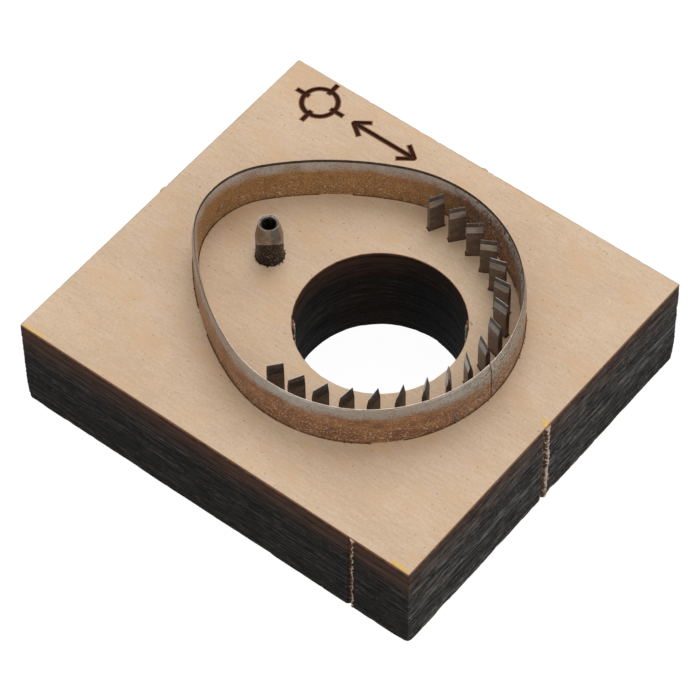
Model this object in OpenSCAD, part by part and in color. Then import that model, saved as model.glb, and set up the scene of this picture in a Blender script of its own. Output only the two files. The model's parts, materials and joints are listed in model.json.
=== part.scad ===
// Steel rule die for hand or press cutting: one bent cutting rule, a hollow punch
// and a row of slanted slit blades, all set in kerfs of a laser-cut plywood board.
// The origin is at the middle of the board's back face, and +X is the wide end.

/* [Cut shape] */
// Length of the cut shape along the board
cut_l = 48; // [44:0.5:54]
// Width of the cut shape across its wide end
cut_w = 42; // [38:0.5:46]
// Radius of the narrow end
tip_r = 11.6; // [10:0.1:13]
// Radius of the two long flanks
flank_r = 44; // [40:1:60]

/* [Die board] */
// Wood left around the cut shape on every side
margin = 9.3; // [6:0.1:16]
// Thickness of the plywood
board_t = 16; // [12:0.5:18]
// Diameter of the round push-out hole
push_hole_d = 24; // [14:0.5:26]
// Wood between the push-out hole and the rule at the wide end
push_hole_land = 7; // [6:0.5:14]

/* [Steel rule] */
// Full height of the rule and of the punch
rule_h = 23; // [20.5:0.1:26]
// Thickness of the rule
rule_t = 0.71; // [0.5:0.01:1.1]
// Height of the ground bevel on each face
rule_bevel = 1.75; // [0.6:0.05:2.5]
// Width of the flat that is left on a cutting edge
edge_land = 0.04; // [0.02:0.01:0.1]
// Gap where the two ends of the rule meet
seam_gap = 0.12; // [0.05:0.01:0.4]
// Turn of that seam from the wide end, in degrees
seam_turn = -2; // [-30:1:30]

/* [Bridges] */
// Width of each uncut bridge that holds the inner wood
bridge_w = 5; // [3:0.5:8]
// Room between a bridge and the sides of the notch in the rule
bridge_side = 0.5; // [0.2:0.1:1]
// Room between a bridge and the top of the notch in the rule
bridge_top = 0.2; // [0.1:0.05:0.6]
// Turn of the two bridges on the wide end, in degrees
bridge_turn = 45; // [30:1:75]

/* [Slit blades] */
// Number of slit blades in the row
slit_count = 18; // [2:1:20]
// Distance from the middle of a blade to the rule
slit_inset = 2.9; // [2.5:0.1:3.4]
// Width of a blade
slit_w = 2.3; // [1.5:0.1:2.6]
// Thickness of a blade
slit_t = 0.71; // [0.4:0.01:0.9]
// Height of the ground bevel on each face of a blade
slit_bevel = 1.75; // [0.6:0.05:2.5]
// Distance of the blades' cutting edges below the edge of the rule
slit_drop = 0.4; // [0:0.1:1.5]
// Turn from one blade to the next round the wide end, in degrees
slit_step = 11.3; // [10:0.1:12]
// Turn of the middle of the row from the wide end, in degrees
slit_middle = 1; // [-10:0.5:10]
// Slant of a blade from the outward direction, in degrees
slit_slant = 34.5; // [0:0.5:50]
// Length by which a slot is cut past each end of its blade
slit_overcut = 0.3; // [0:0.05:0.4]

/* [Hollow punch] */
// Outside diameter of the punch
punch_d = 3.9; // [3:0.1:5]
// Diameter of the hole that it cuts
punch_bore_d = 2; // [1:0.1:2.4]
// Diameter of its cutting edge, between an outer and an inner bevel
punch_edge_d = 2.9; // [2.5:0.1:2.9]
// Height of the outer bevel
punch_cone = 2.5; // [1:0.1:4]
// Depth of the inner bevel
punch_mouth = 0.3; // [0.1:0.05:1]
// Length of the tight bore below the tip
punch_land = 6; // [3:0.5:12]
// Diameter of the wider relief bore below that
punch_relief_d = 2.6; // [2.5:0.1:2.8]
// Distance from the narrow end's rule to the punch
punch_inset = 9.8; // [6:0.1:13]

/* [Hold tabs] */
// Width of the broken tabs on the board's sides
tab_w = 0.7; // [0.3:0.1:1.5]
// Length that is left of each broken tab
tab_stub = 0.3; // [0.1:0.05:0.6]
// Place of the front tab along the side, from the middle
tab_front_x = 24; // [-25:0.1:25]

/* [Fits] */
// Clearance between a rule or blade and each wall of its kerf
kerf_gap = 0.04; // [0.02:0.01:0.1]
// Clearance between the punch and the wall of its hole
punch_gap = 0.03; // [0.02:0.01:0.1]

/* [Hidden] */
$fn = 96;

// Every cut runs a little past the faces of the board
through = 1;

// End circles of the outline, both on the X axis
wide_r = cut_w / 2;
wide_x = cut_l / 2 - wide_r;
tip_x = tip_r - cut_l / 2;

// A flank is an arc that touches both end circles from outside
reach = wide_x - tip_x;
wide_gap = flank_r - wide_r;
tip_gap = flank_r - tip_r;
flank_u = (pow(tip_gap, 2) - pow(wide_gap, 2) - pow(reach, 2)) / (2 * reach);
flank_x = wide_x + flank_u;
flank_y = sqrt(pow(wide_gap, 2) - pow(flank_u, 2));
wide_turn = atan2(flank_y, wide_x - flank_x);
tip_turn = atan2(flank_y, tip_x - flank_x);
flank_turn = (wide_turn + tip_turn) / 2;

// The outline as four arcs: middle, radius, first and last direction
wide_end = [[wide_x, 0], wide_r, -wide_turn, wide_turn];
back_flank = [[flank_x, -flank_y], flank_r, wide_turn, tip_turn];
narrow_end = [[tip_x, 0], tip_r, tip_turn, 360 - tip_turn];
front_flank = [[flank_x, flank_y], flank_r, 360 - tip_turn, 360 - wide_turn];
outline = [wide_end, back_flank, narrow_end, front_flank];

// Each bridge as its arc and its direction on that arc
bridges = [
    [wide_end, bridge_turn],
    [back_flank, flank_turn],
    [front_flank, -flank_turn],
    [wide_end, -bridge_turn],
];

// Two bends are joined by a short straight splice, a hair thicker and lower than the strip
splice_l = 0.6;
splice_room = 0.1;
splice_extra = 0.01;

board_l = cut_l + 2 * margin;
board_w = cut_w + 2 * margin;
push_hole_x = cut_l / 2 - push_hole_land - push_hole_d / 2;
punch_x = punch_inset - cut_l / 2;
slit_r = wide_r - slit_inset;
slit_h = rule_h - slit_drop;
seam_reach = 4 * rule_t;
bridge_reach = 6 * rule_t;

function slit_name(i) = str("slit_blade_", i < 9 ? "0" : "", i + 1);
function slit_turn(i) = slit_middle + ((slit_count - 1) / 2 - i) * slit_step;

// Places children on an arc, with +X pointing out of the shape and +Y along the strip
module on_arc(arc, turn) {
    translate(arc[0])
        rotate([0, 0, turn])
            translate([arc[1], 0, 0])
                children();
}

// Cross-section of a rule, with its back edge at the bottom and its cutting edge at the top
module rule_section(t, h, bevel, extra = 0) {
    side = t / 2 + extra;
    edge = min(edge_land, t) / 2 + extra;
    polygon([
        [-side, 0], [side, 0], [side, h - bevel],
        [edge, h - extra], [-edge, h - extra], [-side, h - bevel],
    ]);
}

// Plain cross-section of a kerf that runs through the board
module kerf_section(t) {
    translate([-t / 2, -through])
        square([t, board_t + 2 * through]);
}

// Bends the first child's section round the outline; the second child joins the bends
module bent_strip() {
    for (arc = outline) {
        trim = splice_room / 2 / arc[1] * 180 / PI;
        translate(arc[0])
            rotate_extrude(start = arc[2] + trim, angle = arc[3] - arc[2] - 2 * trim)
                translate([arc[1], 0])
                    children(0);
        on_arc(arc, arc[3])
            rotate([90, 0, 0])
                linear_extrude(splice_l, center = true)
                    children(1);
    }
}

// Blocks at the bridges, standing on the back face
module bridge_blocks(w, h) {
    for (b = bridges)
        on_arc(b[0], b[1])
            translate([-bridge_reach / 2, -w / 2, -through])
                cube([bridge_reach, w, h + through]);
}

module rule_kerf() {
    kerf = rule_t + 2 * kerf_gap;
    difference() {
        bent_strip() {
            kerf_section(kerf);
            kerf_section(kerf + 2 * splice_extra);
        }
        bridge_blocks(bridge_w, board_t + 2 * through);
    }
}

// Places children at one blade, with +X along its cutting edge
module at_slit(i) {
    on_arc([[wide_x, 0], slit_r], slit_turn(i))
        rotate([0, 0, -slit_slant])
            children();
}

module slit_slots() {
    slot_l = slit_w + 2 * slit_overcut;
    slot_t = slit_t + 2 * kerf_gap;
    for (i = [0 : slit_count - 1])
        at_slit(i)
            translate([-slot_l / 2, -slot_t / 2, -through])
                cube([slot_l, slot_t, board_t + 2 * through]);
}

module round_holes() {
    translate([push_hole_x, 0, -through])
        cylinder(d = push_hole_d, h = board_t + 2 * through);
    translate([punch_x, 0, -through])
        cylinder(d = punch_d + 2 * punch_gap, h = board_t + 2 * through);
}

// What is left of the tabs that held the board in its sheet, one on each side
module tab_stubs() {
    translate([-board_l / 2 - tab_stub, -tab_w / 2, 0])
        cube([board_l + 2 * tab_stub, tab_w, board_t]);
    translate([-tab_w / 2, 0, 0])
        cube([tab_w, board_w / 2 + tab_stub, board_t]);
    translate([tab_front_x - tab_w / 2, -board_w / 2 - tab_stub, 0])
        cube([tab_w, board_w / 2 + tab_stub, board_t]);
}

module die_board() {
    color("#cdb296")
        difference() {
            union() {
                translate([-board_l / 2, -board_w / 2, 0])
                    cube([board_l, board_w, board_t]);
                tab_stubs();
            }
            rule_kerf();
            slit_slots();
            round_holes();
        }
}

module cutting_rule() {
    color("#85603a")
        difference() {
            bent_strip() {
                rule_section(rule_t, rule_h, rule_bevel);
                rule_section(rule_t, rule_h, rule_bevel, splice_extra);
            }
            bridge_blocks(bridge_w + 2 * bridge_side, board_t + bridge_top);
            on_arc(wide_end, seam_turn)
                translate([-seam_reach / 2, -seam_gap / 2, -through])
                    cube([seam_reach, seam_gap, rule_h + 2 * through]);
        }
}

module hole_punch() {
    edge_out = (punch_edge_d + edge_land) / 2;
    edge_in = (punch_edge_d - edge_land) / 2;
    relief_top = rule_h - punch_land;
    color("#6f6a63")
        translate([punch_x, 0, 0])
            rotate_extrude()
                polygon([
                    [punch_relief_d / 2, 0], [punch_d / 2, 0], [punch_d / 2, rule_h - punch_cone],
                    [edge_out, rule_h], [edge_in, rule_h], [punch_bore_d / 2, rule_h - punch_mouth],
                    [punch_bore_d / 2, relief_top], [punch_relief_d / 2, relief_top],
                ]);
}

module slit_blade(i) {
    color("#3f3833")
        at_slit(i)
            rotate([90, 0, 90])
                linear_extrude(slit_w, center = true)
                    rule_section(slit_t, slit_h, slit_bevel);
}

die_board();
cutting_rule();
hole_punch();
for (i = [0 : slit_count - 1])
    slit_blade(i);
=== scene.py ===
"""Looks of a steel rule die: a laser-cut plywood board with a bent cutting rule, a punch and slit blades."""

import json
import math
import random
from collections import namedtuple
from types import SimpleNamespace

import bmesh
import bpy
import numpy as np
from bpy.props import FloatProperty, FloatVectorProperty, IntProperty, PointerProperty
from mathutils import Matrix, Vector, noise
from mathutils.geometry import delaunay_2d_cdt


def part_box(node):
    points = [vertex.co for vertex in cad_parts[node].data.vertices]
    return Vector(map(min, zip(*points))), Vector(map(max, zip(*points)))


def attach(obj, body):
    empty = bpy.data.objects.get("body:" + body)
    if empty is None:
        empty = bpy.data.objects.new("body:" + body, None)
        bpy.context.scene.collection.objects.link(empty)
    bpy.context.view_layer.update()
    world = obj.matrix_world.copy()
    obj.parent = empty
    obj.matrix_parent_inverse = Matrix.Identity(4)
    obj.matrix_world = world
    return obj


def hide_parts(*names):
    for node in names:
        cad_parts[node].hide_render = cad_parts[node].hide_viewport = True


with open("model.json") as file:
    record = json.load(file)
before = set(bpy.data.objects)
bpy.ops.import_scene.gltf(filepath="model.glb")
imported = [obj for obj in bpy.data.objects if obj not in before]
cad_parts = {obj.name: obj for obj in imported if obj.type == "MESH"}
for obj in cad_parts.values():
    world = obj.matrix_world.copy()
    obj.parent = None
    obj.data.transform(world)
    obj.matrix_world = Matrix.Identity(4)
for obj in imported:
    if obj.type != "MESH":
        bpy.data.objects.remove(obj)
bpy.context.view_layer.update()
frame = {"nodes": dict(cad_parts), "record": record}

bl_info = {
    "name": "Steel Rule Die",
    "version": (1, 0, 0),
    "blender": (4, 5, 0),
    "location": "View3D > Sidebar > Die",
    "description": "Builds the finished pieces of a steel rule die around its packed solids",
    "category": "Object",
}

MM = 0.001
SEED = 7

# Blades, counted from 0, that get a painted glint along their edges, and those whose bevels get painted shade
GLINTING = range(4, 7)
SHADED_BEVELS = range(4, 9)

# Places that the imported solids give, in millimetres
BOARD_LOW, BOARD_HIGH = (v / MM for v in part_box("die_board"))
RULE_LOW, RULE_HIGH = (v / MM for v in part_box("cutting_rule"))
PUNCH_LOW, PUNCH_HIGH = (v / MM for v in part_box("hole_punch"))
BLADES = sorted(name for name in frame["nodes"] if name.startswith("slit_blade"))
MOUNTS = {m["name"]: m for m in frame["record"]["mounts"]}
BOARD_T = BOARD_HIGH.z
RULE_H = RULE_HIGH.z
PUNCH = (PUNCH_LOW + PUNCH_HIGH) / 2
PUNCH_R = (PUNCH_HIGH.x - PUNCH_LOW.x) / 2
BORE = MOUNTS["punch_bore"]["dims"]
HOLE_X = MOUNTS["push_out_hole"]["pos_m"][0] / MM
HOLE_R = MOUNTS["push_out_hole"]["dims"]["r_mm"]

# Thickness of the rule's strip, and what the splices of its solid add on each side
RULE_T = 0.71
SPLICE = 0.01

# Half width of the torn stubs in the hole, and a distance that is far from any tab
HOLE_STUB = 0.6
NO_TAB = 99.0


def linear(hex_colour):
    """An sRGB hex colour as linear red, green, blue and alpha."""
    parts = [int(hex_colour[i:i + 2], 16) / 255 for i in (1, 3, 5)]
    return [c / 12.92 if c <= 0.04045 else ((c + 0.055) / 1.055) ** 2.4 for c in parts] + [1.0]


def length(name, text, mm):
    """A size property, given in millimetres and kept in metres."""
    return FloatProperty(name=name, description=text, default=mm * MM, min=0.0, precision=5, unit="LENGTH")


def angle(name, text, degrees):
    """An angle property, given in degrees and kept in radians."""
    return FloatProperty(name=name, description=text, default=math.radians(degrees), subtype="ANGLE")


def tint(name, text, hex_colour):
    """A colour property."""
    return FloatVectorProperty(
        name=name, description=text, default=linear(hex_colour), size=4, min=0.0, max=1.0, subtype="COLOR")


class DieSizes(bpy.types.PropertyGroup):
    """Sizes of the visible pieces."""
    cut_l: length("Cut length", "Length of the cut shape", RULE_HIGH.x - RULE_LOW.x - RULE_T)
    cut_w: length("Cut width", "Width of the cut shape", RULE_HIGH.y - RULE_LOW.y - RULE_T)
    tip_r: length("Narrow end", "Radius of the narrow end", 11.6)
    flank_r: length("Flanks", "Radius of the two long flanks", 44.0)
    rule_t: length("Rule thickness", "Thickness of the rule", RULE_T)
    rule_bevel: length("Rule bevel", "Height of the ground bevel on the rule", 1.75)
    edge_land: length("Edge land", "Flat left on a cutting edge", 0.04)
    edge_step_h: length("Edge step height", "Height of the short steeper bevel at the edge", 0.42)
    edge_step_t: length("Edge step thickness", "Thickness of the rule where that bevel starts", 0.2)
    seam_gap: length("Seam gap", "Gap where the ends of the rule meet, with their broken corners", 0.2)
    bridge_w: length("Bridge width", "Width of an uncut bridge", 5.0)
    bridge_side: length("Bridge side room", "Room beside a bridge in the rule's notch", 0.5)
    bridge_top: length("Bridge top room", "Open room above a bridge in the rule's notch", 0.03)
    kerf_gap: length("Kerf gap", "Clearance between steel and wood at the top face", 0.05)
    slit_w: length("Blade width", "Width of a slit blade", 2.3)
    slit_t: length("Blade thickness", "Thickness of a slit blade", 0.71)
    slit_bevel: length("Blade bevel", "Height of the ground bevel on a slit blade", 1.75)
    burnt_h: length("Burnt bevel", "Height of the blackened top of a blade's bevel", 0.72)
    edge_line: length("Edge line", "Height of the bright line along a blade's edge", 0.16)
    # The bright line along a blade's edge is a painted highlight
    slit_overcut: length("Slot overcut", "Open length of a slot past each end of its blade", 0.1)
    tab_stub: length("Tab stub", "Length left of a broken holding tab", 0.3)
    tab_front_x: length("Front tab", "Place of the front tab from the middle", 24.0)
    corner_r: length("Corner", "Rounding of the upright corners", 0.16)
    ply_t: length("Ply", "Thickness of one ply", 16.0 / 11)
    mark_w: length("Mark stroke", "Width of a burnt stroke", 0.55)
    mark_d: length("Mark depth", "Depth of a burnt stroke", 0.2)
    punch_cone: length("Punch cone", "Height of the outer bevel", 2.5)
    punch_edge: length("Punch edge", "Radius of the cutting edge of the punch", 1.45)
    punch_mouth: length("Punch mouth", "Depth of the inner bevel", 0.3)
    punch_bright: length("Punch ground length", "Length of bright steel below the tip", 3.6)


class DieAngles(bpy.types.PropertyGroup):
    """Directions of the visible pieces."""
    seam_turn: angle("Seam", "Turn of the seam from the wide end", -2)
    bridge_turn: angle("Bridges", "Turn of the bridges on the wide end", 45)
    slit_slant: angle("Blade slant", "Slant of a blade from the outward direction", 34.5)
    stub_turn: angle("Hole stubs", "Turn of the tab stubs in the push-out hole", 37)
    # The front is the side toward the camera: there the rule's edge gets a painted highlight, and the punch's
    # black base reaches higher as painted shade
    front_turn: angle("Front", "Turn of the side where the rule is honed and the punch ground least", -51.4)
    far_turn: angle("Far side", "Turn of the stretch of the rule with a rusty inner face", 40)


class DieColours(bpy.types.PropertyGroup):
    """Colours of the finishes."""
    veneer_pale: tint("Pale veneer", "Early wood of the face veneer", "#D8BEA2")
    veneer_deep: tint("Deep veneer", "Late wood of the face veneer", "#C8AC8E")
    veneer_warm: tint("Warm veneer", "Tan patches of the face veneer", "#D2AE86")
    veneer_fleck: tint("Veneer fleck", "Specks on the face veneer", "#8A6A4C")
    scorch: tint("Scorch", "Browned wood beside a cut", "#80563A")
    char_brown: tint("Brown char", "Char near the top of a cut", "#50382C")
    char_black: tint("Black char", "Char low in a cut", "#0C0B0B")
    char_grey: tint("Grey char", "Ash streaks on the char", "#64605C")
    mark_brown: tint("Burnt mark", "Floor of the burnt strokes", "#4A2712")
    raw_fibre: tint("Raw fibre", "Torn wood of a tab", "#C9B8A4")
    oxide_gold: tint("Gold oxide", "Tempered face of the rule", "#A87A50")
    oxide_brown: tint("Brown oxide", "Darker temper of the rule", "#82593C")
    rust: tint("Rust", "Rusty temper of the far inner face", "#A2602C")
    oxide_straw: tint("Straw oxide", "Golden temper of the inner face", "#B58A52")
    ground_steel: tint("Ground steel", "Fresh ground bevels", "#A39D96")
    # Painted highlight along the rule's cutting edge, on the side toward the camera
    honed_and_lit: tint("Honed edge", "Bright line along the cutting edge", "#BBB5AE")
    ground_pale: tint("Pale ground steel", "Ground bevel of the inner face", "#CBC9C7")
    scale: tint("Furnace scale", "Dark scale on the rule", "#5C4C43")
    blade_oxide: tint("Blade oxide", "Dark faces of the blades", "#877A71")
    # Painted reflection: the blades' faces take this tint on the blades at the far right, and blade_oxide on
    # those at the near left
    painted_blade_reflection: tint("Worn oxide", "Faces of the blades that are handled most", "#7E6A5C")
    # Painted shade and highlight of the blade bevels: the first colour where they are shaded, mostly at the
    # near left, the second where they are lit, mostly at the far right
    shaded_blade_bevel: tint("Dull bevel", "Ground bevels that have blackened", "#74706C")
    lit_blade_bevel: tint("Blade bevel", "Fresh ground bevels of the blades", "#F0E7DE")
    punch_steel: tint("Punch steel", "Turned steel of the punch", "#A39C93")
    punch_oxide: tint("Punch oxide", "Black base of the punch", "#3A302B")
    dust: tint("Dust", "Pale dust and grit on the steel", "#CFC4B4")
    paint: tint("Sheet paint", "Yellow paint left from the sheet", "#DCB24E")


class DieStage(bpy.types.PropertyGroup):
    """Camera, light and loose crumbs."""
    azimuth: angle("Azimuth", "Turn of the camera", 38.64)
    elevation: angle("Elevation", "Height angle of the camera", 52.853)
    roll: FloatProperty(name="Roll", description="Roll of the camera", default=-0.0104, subtype="ANGLE")
    distance: length("Distance", "Distance of the camera from its aim", 539.85)
    aim: FloatVectorProperty(
        name="Aim", description="Point that the camera looks at", default=(-0.00291, 0.0033, 0.0),
        subtype="TRANSLATION", unit="LENGTH", precision=5)
    lens: FloatProperty(name="Lens", description="Focal length of the camera", default=198.2, unit="CAMERA")
    tent: FloatProperty(name="Tent", description="Light from all round", default=0.68, subtype="FACTOR")
    key: FloatProperty(
        name="Key lamp", description="Power of the large lamp overhead", default=2.9, unit="POWER")
    fill: FloatProperty(
        name="Fill lamp", description="Power of the lamp at the right", default=0.9, unit="POWER")
    paper: tint("Paper", "Colour of the studio paper", "#F4F4F4")
    crumbs: IntProperty(name="Crumbs", description="Number of char crumbs along the rule", default=110, min=0)


def in_mm(group):
    """A group of sizes as plain numbers in millimetres."""
    return SimpleNamespace(**{name: getattr(group, name) / MM for name in group.__annotations__})


# Shared geometry

Arc = namedtuple("Arc", "x y r first last")
Station = namedtuple("Station", "x y nx ny s tab half")


def egg_arcs(size):
    """The middle line of the rule as four arcs, from the wide end round by the back flank."""
    wide_r = size.cut_w / 2
    wide_x = size.cut_l / 2 - wide_r
    tip_x = size.tip_r - size.cut_l / 2
    reach = wide_x - tip_x
    wide_gap = size.flank_r - wide_r
    tip_gap = size.flank_r - size.tip_r
    u = (tip_gap ** 2 - wide_gap ** 2 - reach ** 2) / (2 * reach)
    v = math.sqrt(wide_gap ** 2 - u * u)
    wide_turn = math.atan2(v, -u)
    tip_turn = math.atan2(v, -u - reach)
    return [
        Arc(wide_x, 0, wide_r, -wide_turn, wide_turn),
        Arc(wide_x + u, -v, size.flank_r, wide_turn, tip_turn),
        Arc(tip_x, 0, size.tip_r, tip_turn, math.tau - tip_turn),
        Arc(wide_x + u, v, size.flank_r, math.tau - tip_turn, math.tau - wide_turn),
    ]


def arc_length(arc):
    return arc.r * (arc.last - arc.first)


def egg_length(arcs):
    return sum(arc_length(a) for a in arcs)


def egg_point(arcs, d, out=0.0):
    """Point at distance d along the line, moved outwards by out."""
    d %= egg_length(arcs)
    for a in arcs:
        if d <= arc_length(a):
            break
        d -= arc_length(a)
    turn = a.first + d / a.r
    return Vector((a.x, a.y)) + Vector((math.cos(turn), math.sin(turn))) * (a.r + out)


def seam_distance(arcs, angles):
    return arcs[0].r * (angles.seam_turn - arcs[0].first)


def bridge_distances(arcs, angles):
    """Middles of the bridges: two on the wide end and one on each flank."""
    wide, back, tip, front = (arc_length(a) for a in arcs)
    turn = angles.bridge_turn
    return [
        arcs[0].r * (turn - arcs[0].first),
        wide + back / 2,
        wide + back + tip + front / 2,
        arcs[0].r * (-turn - arcs[0].first),
    ]


def spread(first, last, step):
    """Even places from first to last, no further apart than step."""
    count = max(1, math.ceil((last - first) / step))
    return [first + (last - first) * i / count for i in range(count + 1)]


def circle(x, y, r, count):
    return [Vector((x + r * math.cos(math.tau * i / count), y + r * math.sin(math.tau * i / count)))
            for i in range(count)]


def turned_box(x, y, turn, l, w):
    """Corners of a flat box with its length along the direction turn."""
    along = Vector((math.cos(turn), math.sin(turn)))
    across = Vector((-along.y, along.x))
    corners = ((-1, -1), (1, -1), (1, 1), (-1, 1))
    return [Vector((x, y)) + along * l / 2 * i + across * w / 2 * j for i, j in corners]


def wave(*place):
    """Smooth noise from -1 to 1."""
    return noise.noise(Vector(place))


def step_up(x, low, high):
    """Smooth rise from 0 at low to 1 at high."""
    t = min(1.0, max(0.0, (x - low) / (high - low)))
    return t * t * (3 - 2 * t)


def join_loops(bm, low, high):
    """Faces between two loops of as many vertices."""
    after = low[1:] + low[:1], high[1:] + high[:1]
    return [bm.faces.new(ring) for ring in zip(low, *after, high)]


def make_piece(name, bm, materials, slot, *replaced, sharp=35):
    """Turns a mesh in millimetres into a piece of the die that rides on its one body."""
    mesh = bpy.data.meshes.new(name)
    bm.to_mesh(mesh)
    bm.free()
    mesh.transform(Matrix.Scale(MM, 4))
    for material in materials:
        mesh.materials.append(material)
    mesh.shade_smooth()
    mesh.set_sharp_from_angle(angle=math.radians(sharp))
    piece = bpy.data.objects.new(name, mesh)
    bpy.context.scene.collection.objects.link(piece)
    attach(piece, "root")
    if replaced:
        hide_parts(*replaced)


# Materials

# Settings that many nodes share
TIMES_PLUS = {"operation": "MULTIPLY_ADD"}
TIMES = {"operation": "MULTIPLY"}
SMOOTH = {"interpolation_type": "SMOOTHSTEP"}
COLOUR = {"data_type": "RGBA", "out": 2}


def add(tree, kind, inputs, out=0, **settings):
    """Adds a node with its settings, sets or links its inputs by name or number, and gives an output."""
    node = tree.nodes.new("ShaderNode" + kind)
    for key, value in settings.items():
        setattr(node, key, value)
    for key, value in inputs.items():
        if isinstance(value, bpy.types.NodeSocket):
            tree.links.new(value, node.inputs[key])
        else:
            node.inputs[key].default_value = value
    return node.outputs[out] if node.outputs else None


def new_material(name, *layers, **patterns):
    """A bare material, its tree and what its pattern is made of.

    That is the height, the vertex layers by name, and noises with their lump sizes in mm and their detail.
    """
    material = bpy.data.materials.new(name)
    material.use_nodes = True
    tree = material.node_tree
    tree.nodes.clear()
    place = add(tree, "TexCoord", {}, out="Object")
    pattern = SimpleNamespace(height=add(tree, "SeparateXYZ", {"Vector": place}, out="Z"))
    for layer in layers:
        setattr(pattern, layer, add(tree, "Attribute", {}, out="Fac", attribute_name=layer))
    for key, (x, y, z, detail) in patterns.items():
        scale = [1 / (MM * size) for size in (x, y, z)]
        moved = add(tree, "Mapping", {"Vector": place, "Scale": scale})
        setattr(pattern, key, add(tree, "TexNoise", {"Vector": moved, "Scale": 1.0, "Detail": detail}))
    return material, tree, pattern


def darker(colour, share):
    """A colour with its light cut down to a share."""
    return [v * share for v in colour[:3]] + [1.0]


def coats(tree, under, *layers):
    """Lays coats on a colour, each with a pattern, where it starts and is full, its share and its colour."""
    for pattern, low, high, share, colour in layers:
        part = add(tree, "MapRange", {
            "Value": pattern, "From Min": low, "From Max": high, "To Max": share}, **SMOOTH)
        under = add(tree, "Mix", {0: part, 6: under, 7: colour}, **COLOUR)
    return under


def surface(tree, relief, depth, strength, inputs):
    """Ends a material with a shader over a relief, whose depth is in mm."""
    normal = add(tree, "Bump", {"Height": relief, "Distance": depth * MM, "Strength": strength})
    shader = add(tree, "BsdfPrincipled", {**inputs, "Normal": normal})
    add(tree, "OutputMaterial", {"Surface": shader})


def birch_veneer(c):
    """Sanded birch veneer: pale and dull, softly clouded, with fuzz, rare specks and browned cut edges."""
    # Wood fibre is too fine to show, so the fuzz is drawn several times as coarse
    material, tree, p = new_material(
        "sanded_birch_veneer", "char", pores=(2.6, 0.5, 2.0, 3.0), fuzz=(0.42, 0.36, 0.4, 4.0),
        clouds=(13.0, 8.0, 13.0, 3.0), warmth=(6.0, 4.0, 6.0, 4.0), specks=(0.55, 0.4, 0.5, 1.0))
    tone = add(tree, "Mix", {0: 0.55, 2: p.pores, 3: p.clouds})
    tone = add(tree, "Mix", {0: 0.35, 2: tone, 3: p.fuzz})
    fray = add(tree, "Math", {0: p.fuzz, 1: 0.8, 2: 0.6}, **TIMES_PLUS)
    ragged = add(tree, "Math", {0: p.char, 1: fray}, **TIMES)
    wood = coats(
        tree, c.veneer_deep, (tone, 0.36, 0.64, 1.0, c.veneer_pale),
        (p.warmth, 0.48, 0.7, 0.5, c.veneer_warm), (p.specks, 0.7, 0.77, 0.65, c.veneer_fleck),
        (ragged, 0.12, 0.6, 1.0, c.scorch), (ragged, 0.62, 0.95, 1.0, c.char_brown))
    relief = add(tree, "Mix", {0: 0.7, 2: p.pores, 3: p.fuzz})
    surface(tree, relief, 0.025, 0.4, {"Base Color": wood, "Roughness": 0.62, "Specular IOR Level": 0.3})
    return material


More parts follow.
